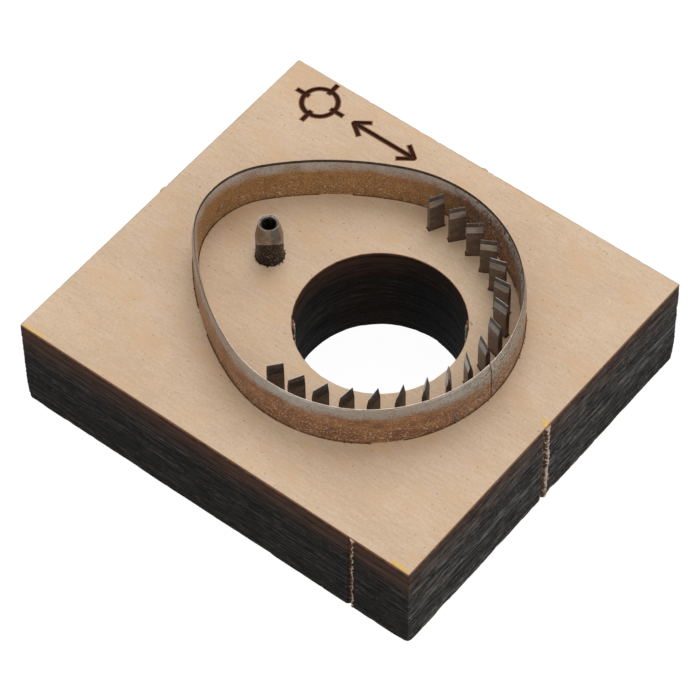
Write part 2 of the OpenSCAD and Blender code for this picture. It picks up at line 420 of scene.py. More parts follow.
def charred_edge(c, ply_t):
    """Laser-charred plywood: near black, browner on top, with glue lines, ash streaks and torn tabs."""
    material, tree, p = new_material(
        "laser_charred_plywood", "ash", "char", "raw", streaks=(3.0, 3.0, 0.3, 5.0),
        bands=(22.0, 22.0, 1.1, 3.0), waver=(6.0, 6.0, 3.0, 2.0), grit=(0.5, 0.5, 0.36, 5.0),
        rays=(1.6, 1.6, 30.0, 3.0))
    level = add(tree, "Math", {0: p.waver, 1: 1.1 * MM, 2: p.height}, **TIMES_PLUS)
    plies = add(tree, "Math", {0: level, 1: 1 / (ply_t * MM)}, **TIMES)
    number = add(tree, "Math", {0: plies}, operation="FLOOR")
    shade = add(tree, "TexWhiteNoise", {"W": number}, noise_dimensions="1D")
    glue = add(tree, "Math", {0: plies, 1: 0.5}, operation="PINGPONG")

    streak = add(tree, "MapRange", {"Value": p.streaks, "From Min": 0.36, "From Max": 0.74}, **SMOOTH)
    cover = add(tree, "MapRange", {
        "Value": p.bands, "From Min": 0.38, "From Max": 0.6, "To Min": 0.4}, **SMOOTH)
    rays = add(tree, "MapRange", {"Value": p.rays, "From Min": 0.3, "From Max": 0.7, "To Min": 0.5})
    for share in (cover, rays, p.ash):
        streak = add(tree, "Math", {0: streak, 1: share}, **TIMES)
    wood = add(tree, "Mix", {0: streak, 6: c.char_black, 7: c.char_grey}, **COLOUR)
    half_ash = add(tree, "Math", {0: p.ash, 1: 0.5}, **TIMES)
    wood = coats(tree, wood, (p.grit, 0.52, 0.74, half_ash, c.char_grey))
    brown = add(tree, "Math", {0: p.bands, 1: 5 * MM, 2: level}, **TIMES_PLUS)
    brown = add(tree, "MapRange", {
        "Value": brown, "From Min": 12.9 * MM, "From Max": 18.3 * MM, "To Max": 0.9}, **SMOOTH)
    # Little ash leaves the push-out hole's wall blacker and less brown than the outer sides: partly real
    # char, partly painted shade for the deep hole
    hole_shade_cut = add(tree, "MapRange", {"Value": p.ash, "From Max": 0.5, "To Min": 0.05})
    grey = add(tree, "MapRange", {
        "Value": p.ash, "From Min": 0.5, "From Max": 2.0, "To Min": 1.0, "To Max": 0.5})
    for share in (hole_shade_cut, grey):
        brown = add(tree, "Math", {0: brown, 1: share}, **TIMES)
    dark = add(tree, "MapRange", {"Value": shade, "From Min": 0.45, "From Max": 1.0, "To Max": 0.35})
    for share, colour in ((brown, c.char_brown), (dark, c.char_black)):
        wood = add(tree, "Mix", {0: share, 6: wood, 7: colour}, **COLOUR)
    wood = coats(
        tree, wood, (glue, 0.13, 0.03, 0.75, c.char_black), (p.streaks, 0.46, 0.34, 0.6, c.char_black))

    # The sides are browned along the top in a ragged line, and the burnt strokes have brown floors
    edge = add(tree, "Math", {0: p.grit, 1: 1.2 * MM, 2: p.height}, **TIMES_PLUS)
    edge = add(tree, "MapRange", {
        "Value": edge, "From Min": (BOARD_T + 0.1) * MM, "From Max": (BOARD_T + 0.7) * MM,
        "To Max": 0.8}, **SMOOTH)
    sides = add(tree, "MapRange", {"Value": p.char, "From Min": 0.95, "From Max": 0.8})
    edge = add(tree, "Math", {0: edge, 1: sides}, **TIMES)
    mark = add(tree, "MapRange", {"Value": p.char, "From Min": 0.8, "From Max": 1.0, "To Max": 0.65})
    for share, colour in ((edge, c.scorch), (mark, c.mark_brown)):
        wood = add(tree, "Mix", {0: share, 6: wood, 7: colour}, **COLOUR)
    frayed = add(tree, "Math", {0: p.grit, 1: 2.3, 2: p.raw}, **TIMES_PLUS)
    wood = coats(tree, wood, (p.raw, 0.1, 0.5, 0.3, c.scorch), (frayed, 1.65, 2.15, 0.85, c.raw_fibre))
    relief = add(tree, "Mix", {0: 0.6, 2: p.streaks, 3: p.grit})
    surface(tree, relief, 0.2, 0.9, {"Base Color": wood, "Roughness": 0.8, "Specular IOR Level": 0.08})
    return material


def tempered_rule(c, shoulder):
    """Spring steel with a bronze temper skin, ground bare at its edge: brown, clouded, gritty low down."""
    # Rolling lines are too fine to show, so they are drawn several times as coarse
    material, tree, p = new_material(
        "bronze_tempered_rule_steel", "inner", "worn", rolled=(8.0, 8.0, 0.18, 3.0),
        clouds=(3.0, 3.0, 1.8, 4.0), clumps=(0.8, 0.8, 0.5, 3.0), grit=(0.25, 0.25, 0.22, 2.0),
        stains=(0.9, 0.9, 4.0, 3.0))
    inner, worn = p.inner, p.worn
    tone = add(tree, "Mix", {0: 0.6, 2: p.rolled, 3: p.clouds})
    skin = coats(tree, c.oxide_brown, (tone, 0.36, 0.64, 1.0, c.oxide_gold))
    gold = add(tree, "MapRange", {
        "Value": worn, "From Min": 0.25, "From Max": 0.6, "To Min": 0.65, "To Max": 0.0})
    gold = add(tree, "Math", {0: inner, 1: gold}, **TIMES)
    rusty = add(tree, "Math", {0: inner, 1: worn}, **TIMES)
    rusty = add(tree, "MapRange", {"Value": rusty, "From Min": 0.4, "From Max": 1.0, "To Max": 0.8})
    for share, colour in ((gold, c.oxide_straw), (rusty, c.rust)):
        skin = add(tree, "Mix", {0: share, 6: skin, 7: colour}, **COLOUR)
    stained = add(tree, "Math", {0: worn, 1: 0.85}, **TIMES)
    skin = coats(tree, skin, (p.stains, 0.42, 0.62, stained, c.scale))

    # The ground band ends in a ragged line, and furnace scale is left on parts of it
    line = add(tree, "Math", {0: p.clouds, 1: 2.4 * MM, 2: p.height}, **TIMES_PLUS)
    line = add(tree, "Math", {0: p.grit, 1: 0.6 * MM, 2: line}, **TIMES_PLUS)
    outer = add(tree, "Math", {0: inner, 1: -1.0, 2: 1.0}, **TIMES_PLUS)
    rubbed = add(tree, "Math", {0: worn, 1: 3.7 * MM, 2: -0.89 * MM}, **TIMES_PLUS)
    line = add(tree, "Math", {0: rubbed, 1: outer, 2: line}, **TIMES_PLUS)
    full = add(tree, "Math", {0: inner, 1: 0.9 * MM, 2: (shoulder + 2.0) * MM}, **TIMES_PLUS)
    bare = add(tree, "MapRange", {
        "Value": line, "From Min": (shoulder + 0.7) * MM, "From Max": full}, **SMOOTH)
    metal = add(tree, "Mix", {0: inner, 6: c.ground_steel, 7: c.ground_pale}, **COLOUR)
    metal = coats(tree, metal, (p.clumps, 0.4, 0.68, worn, c.scale))
    skin = add(tree, "Mix", {0: bare, 6: skin, 7: metal}, **COLOUR)

    low = add(tree, "MapRange", {
        "Value": p.height, "From Min": (BOARD_T + 5.5) * MM, "From Max": (BOARD_T + 1.0) * MM, "To Min": 0.3,
        "To Max": 0.9}, **SMOOTH)
    patchy = add(tree, "MapRange", {
        "Value": p.clumps, "From Min": 0.36, "From Max": 0.62, "To Min": 0.3}, **SMOOTH)
    most = add(tree, "Math", {0: low, 1: worn}, operation="MAXIMUM")
    grit = add(tree, "Math", {0: worn, 1: 0.04, 2: p.grit}, **TIMES_PLUS)
    specks = add(tree, "MapRange", {
        "Value": grit, "From Min": 0.55, "From Max": 0.67, "To Max": most}, **SMOOTH)
    specks = add(tree, "Math", {0: specks, 1: patchy}, use_clamp=True, **TIMES)
    skin = add(tree, "Mix", {0: specks, 6: skin, 7: c.dust}, **COLOUR)
    whole = add(tree, "Math", {0: bare, 1: -0.45, 2: 0.5}, **TIMES_PLUS)
    whole = add(tree, "Math", {0: worn, 1: 0.5, 2: whole}, **TIMES_PLUS)
    skin = coats(tree, skin, (p.grit, 0.46, 0.34, whole, c.scale))
    metallic = add(tree, "Math", {0: bare, 1: 0.35, 2: 0.5}, **TIMES_PLUS)
    metallic = add(tree, "Math", {0: specks, 1: -0.4, 2: metallic}, **TIMES_PLUS)
    rough = add(tree, "Math", {0: p.clouds, 1: 0.2, 2: 0.36}, **TIMES_PLUS)
    relief = add(tree, "Mix", {0: 0.45, 2: p.rolled, 3: p.grit})
    surface(tree, relief, 0.035, 0.7, {"Base Color": skin, "Metallic": metallic, "Roughness": rough})
    return material


def ground_edge(name, dull, fresh, dust, rough, pitted):
    """Steel ground with a wheel: grey, satin, scratched along the strip, with dark pits and bright nicks. The
    bright layer mixes its dull colour to its fresh one as painted highlight and shade.
    """
    # Grinding scratches are too fine to show, so the lines are drawn several times as coarse
    material, tree, p = new_material(
        name, "bright", lines=(2.0, 2.0, 0.28, 3.0), clumps=(0.9, 0.9, 0.5, 3.0),
        nicks=(0.28, 0.28, 0.26, 2.0))
    tone = add(tree, "Mix", {0: p.bright, 6: dull, 7: fresh}, **COLOUR)
    tone = coats(
        tree, tone, (p.lines, 0.66, 0.38, 0.25, darker(dull, 0.4)),
        (p.clumps, 0.48, 0.7, pitted, darker(dull, 0.3)), (p.nicks, 0.6, 0.72, 0.55, dust))
    sheen = add(tree, "Math", {0: p.lines, 1: 0.25, 2: rough}, **TIMES_PLUS)
    relief = add(tree, "Mix", {0: 0.45, 2: p.lines, 3: p.nicks})
    surface(tree, relief, 0.02, 0.6, {"Base Color": tone, "Metallic": 1.0, "Roughness": sheen})
    return material


def dark_oxide(name, colour, light, dust, grit_share, painted_light_layer="bright"):
    """Steel with a black furnace skin: dark brown, dull, with worn spots and caught grit, mixed to a second
    colour by a vertex layer of painted highlight and shade.
    """
    material, tree, p = new_material(name, clouds=(1.4, 1.4, 0.7, 3.0), grit=(0.2, 0.2, 0.2, 2.0))
    bright = add(tree, "Attribute", {}, out="Fac", attribute_name=painted_light_layer)
    tone = add(tree, "Mix", {0: bright, 6: colour, 7: light}, **COLOUR)
    worn = add(tree, "MapRange", {
        "Value": p.clouds, "From Min": 0.35, "From Max": 0.65, "To Min": 0.6, "To Max": 0.0})
    skin = add(tree, "Mix", {0: worn, 6: tone, 7: darker(colour, 0.35)}, **COLOUR)
    specks = add(tree, "MapRange", {
        "Value": p.grit, "From Min": 0.62, "From Max": 0.72, "To Max": grit_share}, **SMOOTH)
    skin = add(tree, "Mix", {0: specks, 6: skin, 7: dust}, **COLOUR)
    metallic = add(tree, "Math", {0: specks, 1: -0.6, 2: 0.75}, **TIMES_PLUS)
    rough = add(tree, "Math", {0: p.clouds, 1: 0.2, 2: 0.4}, **TIMES_PLUS)
    relief = add(tree, "Mix", {0: 0.5, 2: p.clouds, 3: p.grit})
    surface(tree, relief, 0.05, 0.6, {"Base Color": skin, "Metallic": metallic, "Roughness": rough})
    return material


def sheet_paint(c):
    """Thin brushed yellow paint that marked the sheet: patchy, half dull, with wood showing through."""
    material, tree, p = new_material("yellow_sheet_paint", patches=(0.8, 0.4, 0.5, 3.0))
    tone = coats(tree, c.paint, (p.patches, 0.46, 0.68, 1.0, c.veneer_deep))
    surface(tree, p.patches, 0.02, 0.5, {"Base Color": tone, "Roughness": 0.5})
    return material


# Board


def board_size(size):
    """Length and width of the board without its tab stubs."""
    span = BOARD_HIGH - BOARD_LOW
    return span.x - 2 * size.tab_stub, span.y - 2 * size.tab_stub


def fine_places(run, tab, step=0.5, near=1.4, fine=0.09):
    """Places along a run, close together near the tab."""
    places = [p for p in spread(0.0, run, step) if abs(p - tab) > near]
    return sorted(places + spread(tab - near, tab + near, fine))


def side_stations(size):
    """Places round the sides of the board, with the way out and the distance from the nearest tab."""
    l, w = board_size(size)
    r = size.corner_r
    corners = [Vector(p) for p in ((-l / 2, -w / 2), (l / 2, -w / 2), (l / 2, w / 2), (-l / 2, w / 2))]
    tabs = (l / 2 + size.tab_front_x, w / 2, l / 2, w / 2)
    halves = (0.17, 0.36, 0.27, 0.32)
    stations = []
    s = 0.0
    for k, (tab, half) in enumerate(zip(tabs, halves)):
        start, end = corners[k], corners[(k + 1) % 4]
        along = (end - start).normalized()
        out = Vector((along.y, -along.x))
        run = (end - start).length - 2 * r
        for p in fine_places(run, tab - r):
            at = start + along * (p + r)
            stations.append(Station(at.x, at.y, out.x, out.y, s + p, p + r - tab, half))
        s += run + 2 * r
        centre = end - along * r - out * r
        for i in (1, 2, 3):
            turn = math.radians(22.5 * i)
            way = out * math.cos(turn) + along * math.sin(turn)
            at = centre + way * r
            stations.append(Station(at.x, at.y, way.x, way.y, s - r + r * turn, NO_TAB, 0.0))
    return stations


def hole_stations(angles):
    """Places round the push-out hole; the way out of the wood points to the hole's axis."""
    half = math.pi * HOLE_R
    stations = []
    for side in (0, 1):
        first = angles.stub_turn + math.pi * side
        for p in fine_places(half, half / 2)[:-1]:
            turn = first - math.pi / 2 + p / HOLE_R
            x, y = math.cos(turn), math.sin(turn)
            s = p + half * side
            stations.append(Station(HOLE_X + x * HOLE_R, y * HOLE_R, -x, -y, s, p - half / 2, HOLE_STUB))
    return stations


def ply_recess(size, z, key):
    """How far each ply is burnt back, blended over the glue line between two plies."""
    depths = random.Random(SEED + key)
    count = math.ceil(BOARD_T / size.ply_t) + 1
    recess = [depths.uniform(-0.05, 0.05) for _ in range(count)]
    k = min(count - 2, int(z / size.ply_t))
    return recess[k] + (recess[k + 1] - recess[k]) * step_up(z / size.ply_t - k, 0.85, 1.0)


def torn_stub(size, place, z, key, half):
    """Height and rawness of a torn tab: a crooked ridge of fibre with a burnt groove beside it."""
    middle = min(half, 0.25) * (wave(1.2 * z, key, 0.3) + 1.2 * wave(3.7 * z, key, 5.3))
    top = step_up(z, BOARD_T - 0.9, BOARD_T - 0.3)
    off = (place - middle) / (half * (1 + 0.5 * wave(2.4 * z, key, 9.1)) + 0.3 * top)
    ridge = math.sqrt(max(0.0, 1 - off * off))
    if half == HOLE_STUB:
        ridge *= 1 - step_up(z, BOARD_T - 0.3, BOARD_T)
    tall = 0.65 + 0.35 * wave(3.3 * z, key, 2.2)
    groove = (0.35 - 0.25 * top) * math.exp(-((place - middle + half + 0.25) / 0.32) ** 2)
    torn = ridge * max(top, step_up(wave(1.9 * z, key, 7.7) + 0.8 * ridge, -0.1, 0.5))
    return size.tab_stub * (1 + 3 * half * half) * ridge * tall - groove, max(torn, 1.6 * groove)


def wall_offset(size, station, z, recess, key):
    """Distance that the charred wall stands out of its plane, and how raw it is there."""
    streak = 0.06 * wave(0.14 * station.s, 4.2 * z, key)
    swell = 0.06 * wave(0.07 * station.s, 0.5 * z, key + 3)
    crumble = 0.2 * max(0.0, wave(0.25 * station.s, 0.6 * z, key + 6) - 0.05)
    crumble += 0.15 * max(0.0, wave(0.9 * station.s, 0.6 * z, key + 9) - 0.1)
    nick = step_up(z, BOARD_T - 0.5, BOARD_T) * 0.12 * max(0.0, wave(1.1 * station.s, 0.0, key + 8) - 0.05)
    burnt = step_up(BOARD_T - z, 0.0, 0.4)
    inward = burnt * (recess + streak + swell) + step_up(1.2 - z, 0.0, 1.2) * crumble + nick
    if abs(station.tab) > 1.5:
        return -inward, 0.0
    ridge, torn = torn_stub(size, station.tab, z, key + 40 * math.floor(station.s / 40), station.half)
    share = 1 - step_up(abs(station.tab), 0.7, 1.4)
    return ridge * share - inward * (1 - 0.8 * share), torn


def blunted(size, x, y, r):
    """A place on the board's outline, moved in to a corner of radius r."""
    l, w = board_size(size)
    over = Vector((max(0.0, abs(x) - l / 2 + r), max(0.0, abs(y) - w / 2 + r)))
    if min(over) > 0 and over.length > r:
        excess = over * (1 - r / over.length)
        x -= math.copysign(excess.x, x)
        y -= math.copysign(excess.y, y)
    return x, y


def wall(bm, size, stations, key, ashy):
    """A charred wall between the faces of the board, with its own noise by key and its share of ash.

    Gives back its top and bottom loops.
    """
    char, raw, ash = (bm.verts.layers.float[name] for name in ("char", "raw", "ash"))
    rows = []
    for z in spread(0.0, BOARD_T, 0.2):
        recess = ply_recess(size, z, key)
        row = []
        for st in stations:
            out, torn = wall_offset(size, st, z, recess, key)
            x, y = blunted(size, st.x, st.y, size.corner_r + 0.6 * step_up(2.6 - z, 0.0, 2.6))
            vert = bm.verts.new((x + st.nx * out, y + st.ny * out, z))
            vert[char] = (0.55 - 0.2 * (st.ny - st.nx)) * (1.0 - 0.8 * min(1.0, torn))
            vert[raw] = torn
            vert[ash] = ashy * (0.5 + 1.3 * max(0.0, st.nx))
            row.append(vert)
        rows.append(row)
    for low, high in zip(rows, rows[1:]):
        for face in join_loops(bm, low, high):
            face.material_index = 1
    return rows[-1], rows[0]


def shaft_walls(bm, points):
    """Plain upright walls of a cut through the board; gives back its top and bottom loops."""
    char = bm.verts.layers.float["char"]
    top, bottom = ([bm.verts.new((p.x, p.y, z)) for p in points] for z in (BOARD_T, 0.0))
    for vert in top + bottom:
        vert[char] = 1.0
    for face in join_loops(bm, bottom, top):
        face.material_index = 1
    return top, bottom


def kerf_loops(size, angles):
    """Outlines of the four kerfs of the rule, which stop at the bridges."""
    arcs = egg_arcs(size)
    half = size.rule_t / 2 + SPLICE + size.kerf_gap
    whole = egg_length(arcs)
    middles = sorted(bridge_distances(arcs, angles))
    loops = []
    for k, first in enumerate(middles):
        last = middles[(k + 1) % len(middles)] + (whole if k == len(middles) - 1 else 0)
        run = spread(first + size.bridge_w / 2, last - size.bridge_w / 2, 0.5)
        outer = [egg_point(arcs, d, half) for d in run]
        loops.append(outer + [egg_point(arcs, d, -half) for d in reversed(run)])
    return loops


def blade_frames(size, angles):
    """Middle and direction of each slit blade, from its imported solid."""
    wide_x = egg_arcs(size)[0].x
    frames = []
    for name in BLADES:
        low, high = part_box(name)
        middle = (low + high) / 2 / MM
        turn = math.atan2(middle.y, middle.x - wide_x) - angles.slit_slant
        frames.append((name, middle.x, middle.y, turn))
    return frames


def mark_strokes(size, halo):
    """Burnt register target and grain arrow on the top face: outlines of the strokes, grown by halo."""
    l, w = board_size(size)
    x, y, r = -l / 2 + 7.4, w / 2 - 4.5, 2.6
    tick, tick_r, shaft, barb = 2.1, r + 0.45, 11.0, 2.6
    lines = []
    for turn in (k * math.pi / 2 for k in range(4)):
        lines.append((x + tick_r * math.cos(turn), y + tick_r * math.sin(turn), turn, tick))
    arrow_x = x + 11.5
    lines.append((arrow_x, y, 0.0, shaft))
    for end in (-1, 1):
        for turn in (math.radians(-35), math.radians(35)):
            barb_x = arrow_x + end * (shaft - barb * math.cos(turn)) / 2
            lines.append((barb_x, y + end * barb / 2 * math.sin(turn), -turn, barb))
    wide = size.mark_w + 2 * halo
    strokes = [turned_box(cx, cy, turn, run + 2 * halo, wide) for cx, cy, turn, run in lines]
    ring = (circle(x, y, r + wide / 2, 28), circle(x, y, r - wide / 2, 28))
    return strokes, ring


def inside(points, loop):
    """Which of the points lie within a closed loop."""
    hit = np.zeros(len(points), bool)
    px, py = points[:, 0], points[:, 1]
    for (ax, ay), (bx, by) in zip(loop, loop[1:] + loop[:1]):
        if ay != by:
            hit ^= ((ay > py) != (by > py)) & (px < (bx - ax) * (py - ay) / (by - ay) + ax)
    return hit


def flat(loop):
    """A loop of vertices or points as pairs of numbers."""
    return [(v.co.x, v.co.y) if isinstance(v, bmesh.types.BMVert) else (v.x, v.y) for v in loop]


def fill_face(bm, z, outer, holes, rings=(), strokes=(), ring_mark=(), depth=0.0):
    """Fills the face of the board between its loops; the strokes of the mark are sunk by depth."""
    char = bm.verts.layers.float["char"]
    loops = [outer, *holes]
    extra = [(points, 0.0) for points in rings]
    extra += [(points, 0.9) for points in [*strokes, *ring_mark]]
    for points, burn in extra:
        loops.append([bm.verts.new((p.x, p.y, z)) for p in points])
        for vert in loops[-1]:
            vert[char] = burn
    verts = []
    edges = []
    for loop in loops:
        edges += [(len(verts) + i, len(verts) + (i + 1) % len(loop)) for i in range(len(loop))]
        verts += loop
    coords, _, faces, origin, _, _ = delaunay_2d_cdt(
        [v.co.xy for v in verts], edges, [], 0, 1e-5, True)
    used = [verts[ids[0]] if ids else bm.verts.new((p.x, p.y, z)) for p, ids in zip(coords, origin)]
    middles = np.array([[sum(coords[i][k] for i in face) / 3 for k in (0, 1)] for face in faces])
    keep = inside(middles, flat(outer))
    for hole in holes:
        keep &= ~inside(middles, flat(hole))
    sunk = np.zeros(len(faces), bool)
    for stroke in strokes:
        sunk |= inside(middles, flat(stroke))
    if ring_mark:
        sunk |= inside(middles, flat(ring_mark[0])) & ~inside(middles, flat(ring_mark[1]))
    floor = {}
    sides = {}
    for face, kept, low in zip(faces, keep, sunk):
        if not kept:
            continue
        if not low:
            bm.faces.new([used[i] for i in face])
            continue
        for i in face:
            if i not in floor:
                used[i][char] = 0.9
                floor[i] = bm.verts.new(used[i].co - Vector((0, 0, depth)))
                floor[i][char] = 1.0
        bm.faces.new([floor[i] for i in face]).material_index = 1
        for a, b in zip(face, face[1:] + face[:1]):
            sides[frozenset((a, b))] = None if frozenset((a, b)) in sides else (a, b)
    for pair in sides.values():
        if pair:
            a, b = pair
            bm.faces.new((used[b], used[a], floor[a], floor[b])).material_index = 1
    unused = [v for v in verts if not v.link_faces]
    bmesh.ops.delete(bm, geom=unused, context="VERTS")


class DIE_OT_board(bpy.types.Operator):
    """Build the plywood board with its charred cuts, torn tabs and burnt mark"""
    bl_idname = "die.board"
    bl_label = "Board"

    def execute(self, context):
        die = context.scene.die
        size, angles = in_mm(die.sizes), die.angles
        bm = bmesh.new()
        for layer in ("char", "raw", "ash"):
            bm.verts.layers.float.new(layer)
        arcs = egg_arcs(size)
        sides = wall(bm, size, side_stations(size), key=11, ashy=1.0)
        # The hole's wall gets a small share of ash: partly real char, partly painted shade for the deep hole
        cuts = [wall(bm, size, hole_stations(angles), key=23, ashy=0.28)]
        cuts += [shaft_walls(bm, loop) for loop in kerf_loops(size, angles)]
        slot_l = size.slit_w + 2 * size.slit_overcut
        slot_t = size.slit_t + 2 * size.kerf_gap
        frames = blade_frames(size, angles)
        cuts += [shaft_walls(bm, turned_box(x, y, turn, slot_l, slot_t)) for _, x, y, turn in frames]
        punch_r = PUNCH_R + size.kerf_gap
        cuts.append(shaft_walls(bm, circle(PUNCH.x, PUNCH.y, punch_r, 40)))

        l, w = board_size(size)
        scorch = 0.2
        rings = [
            turned_box(0, 0, 0, l - 2 * scorch - 0.1, w - 2 * scorch - 0.1),
            circle(HOLE_X, 0, HOLE_R + scorch, 140),
            circle(PUNCH.x, PUNCH.y, punch_r + scorch, 40),
        ]
        run = spread(0, egg_length(arcs), 0.6)[:-1]
        for side in (-1, 1):
            off = side * (size.rule_t / 2 + size.kerf_gap + 0.7 * scorch)
            rings.append([egg_point(arcs, d, off) for d in run])
        rings += [turned_box(x, y, turn, slot_l + scorch, slot_t + scorch) for _, x, y, turn in frames]
        strokes, ring_mark = mark_strokes(size, 0.0)
        halos, ring_halo = mark_strokes(size, 1.5 * scorch)
        rings += halos + list(ring_halo)
        fill_face(bm, BOARD_T, sides[0], [top for top, _ in cuts], rings, strokes, ring_mark, size.mark_d)
        fill_face(bm, 0.0, sides[1], [bottom for _, bottom in cuts])
        bmesh.ops.recalc_face_normals(bm, faces=bm.faces)
        colours = die.colours
        materials = [birch_veneer(colours), charred_edge(colours, size.ply_t)]
        make_piece("plywood_board", bm, materials, "birch_plywood", "die_board")
        return {"FINISHED"}


def residue_flakes(size):
    """Middle, length and width of each yellow paint flake left on the top edges."""
    l, w = board_size(size)
    return [
        (-l / 2 + 2.2, -w / 2 + 0.36, 3.6, 0.42),
        (l / 2 - 1.8, -w / 2 + 0.5, 2.8, 0.62),
        (l / 2 - 0.75, 0.3, 1.1, 0.7),
        (l / 2 - 0.35, 0.0, 0.5, 0.9),
    ]


class DIE_OT_residue(bpy.types.Operator):
    """Build the flakes of yellow sheet paint on the board's top edges"""
    bl_idname = "die.residue"
    bl_label = "Paint flakes"

    def execute(self, context):
        die = context.scene.die
        size = in_mm(die.sizes)
        bm = bmesh.new()
        points = 26
        for number, (x, y, l, w) in enumerate(residue_flakes(size)):
            lift = 0.015 + 0.012 * number
            rim = []
            for i in range(points):
                turn = math.tau * i / points
                wobble = 1 + 0.5 * wave(2.6 * math.cos(turn), 2.6 * math.sin(turn), x)
                px = x + l / 2 * wobble * math.copysign(abs(math.cos(turn)) ** 0.6, math.cos(turn))
                py = y + w / 2 * wobble * math.copysign(abs(math.sin(turn)) ** 0.6, math.sin(turn))
                rim.append(Vector((px, py, BOARD_T)))
            low = [bm.verts.new(p) for p in rim]
            middle = Vector((x, y, BOARD_T))
            high = [bm.verts.new(middle.lerp(p, 0.9) + Vector((0, 0, lift))) for p in rim]
            join_loops(bm, low, high)
            bm.faces.new(high)
            bm.faces.new(low[::-1])
        make_piece("paint_flakes", bm, [sheet_paint(die.colours)], "birch_plywood")
        return {"FINISHED"}


# Steel


def section(t, h, bevel, land, levels):
    """Half widths of a bevelled strip at a list of heights."""
    rows = []
    for z in levels:
        share = max(0.0, (z - (h - bevel)) / bevel)
        rows.append((z, t / 2 + (land / 2 - t / 2) * share))
    return rows


def strip_faces(bm, columns, lows, slots):
    """Skins a strip from its columns of vertex pairs.

    Each run between two columns starts at its level in lows. The slots are the materials of each level.
    """
    top = len(slots)
    for i, low in enumerate(lows):
        here, there = columns[i], columns[i + 1]
        for k in range(low, top):
            for side in (0, 1):
                ring = (here[k][side], there[k][side], there[k + 1][side], here[k + 1][side])
                bm.faces.new(ring).material_index = slots[k][side]
        bm.faces.new((here[top][0], there[top][0], there[top][1], here[top][1])).material_index = 2
        bm.faces.new((here[low][1], there[low][1], there[low][0], here[low][0]))
    ends = [(0, lows[0], top), (len(columns) - 1, lows[-1], top)]
    ends += [(i + 1, 0, 1) for i, (a, b) in enumerate(zip(lows, lows[1:])) if a != b]
    for i, first, last in ends:
        for k in range(first, last):
            a, b = columns[i][k], columns[i][k + 1]
            bm.faces.new((a[0], a[1], b[1], b[0]))
    bmesh.ops.recalc_face_normals(bm, faces=bm.faces)


class DIE_OT_rule(bpy.types.Operator):
    """Build the bent cutting rule with its ground edge, seam and bridge notches"""
    bl_idname = "die.rule"
    bl_label = "Cutting rule"

    def execute(self, context):
        die = context.scene.die
        size, angles, c = in_mm(die.sizes), die.angles, die.colours
        arcs = egg_arcs(size)
        whole = egg_length(arcs)
        start = seam_distance(arcs, angles) + size.seam_gap / 2
        half = size.bridge_w / 2 + size.bridge_side
        middles = sorted((d - start) % whole for d in bridge_distances(arcs, angles))
        stops = [0.0] + [d + side * half for d in middles for side in (-1, 1)] + [whole - size.seam_gap]
        runs = []
        lows = []
        for k, (first, last) in enumerate(zip(stops, stops[1:])):
            part = spread(first, last, 0.35)[:-1]
            runs += part
            lows += [k % 2] * len(part)
        runs.append(stops[-1])
        shoulder = RULE_H - size.rule_bevel
        step = RULE_H - size.edge_step_h
        narrowing = (size.edge_step_t - size.rule_t) / (step - shoulder)
        rows = [(z, size.rule_t / 2) for z in [0.0] + spread(BOARD_T + size.bridge_top, shoulder, 0.9)]
        for z in spread(shoulder, step, 0.35)[1:]:
            rows.append((z, (size.rule_t + narrowing * (z - shoulder)) / 2))
        rows.append((RULE_H, size.edge_land / 2))
        top = len(rows) - 1

        bm = bmesh.new()
        inner = bm.verts.layers.float.new("inner")
        wear = bm.verts.layers.float.new("worn")
        bright = bm.verts.layers.float.new("bright")
        columns = []
        for d in runs:
            at = egg_point(arcs, start + d)
            turn = math.atan2(at.y, at.x - arcs[0].x)
            far = step_up(math.cos(turn - angles.far_turn), 0.4, 0.95)
            near_seam = step_up(turn, math.radians(-40), math.radians(8))
            near_seam *= step_up(-turn, math.radians(-120), math.radians(-60))
            # Painted highlight on the rule's edge, strongest on the side toward the camera
            honed_and_lit = step_up(math.cos(turn - angles.front_turn), -0.1, 0.7)
            nick = 0.04 * max(0.0, wave(1.3 * d, 3.0, 1.0))
            column = []
            for level, (z, wide) in enumerate(rows):
                sway = 0.02 * wave(0.12 * d, 0.2 * z, 4.0)
                pair = []
                for side in (-1, 1):
                    at = egg_point(arcs, start + d, side * wide + sway)
                    vert = bm.verts.new((at.x, at.y, z - nick if level == top else z))
                    vert[inner] = 1.0 if side < 0 else 0.0
                    vert[bright] = honed_and_lit
                    vert[wear] = 0.2 + (0.8 * far if side < 0 else 0.5 * near_seam)
                    pair.append(vert)
                column.append(pair)
            columns.append(column)
        # The steep bevel at the edge: painted shade on its inner side; on its outer side and on the land, a
        # painted highlight toward the camera and painted shade elsewhere
        strip_faces(bm, columns, lows, [(0, 0)] * (top - 1) + [(1, 2)])
        materials = [
            tempered_rule(c, shoulder),
            dark_oxide("burnt_inner_edge", c.scale, c.scale, c.dust, 0.35),
            ground_edge("ground_outer_edge", c.scale, c.honed_and_lit, c.dust, 0.22, 0.2),
        ]
        make_piece("bent_cutting_rule", bm, materials, "rule_steel", "cutting_rule", sharp=8)
        return {"FINISHED"}


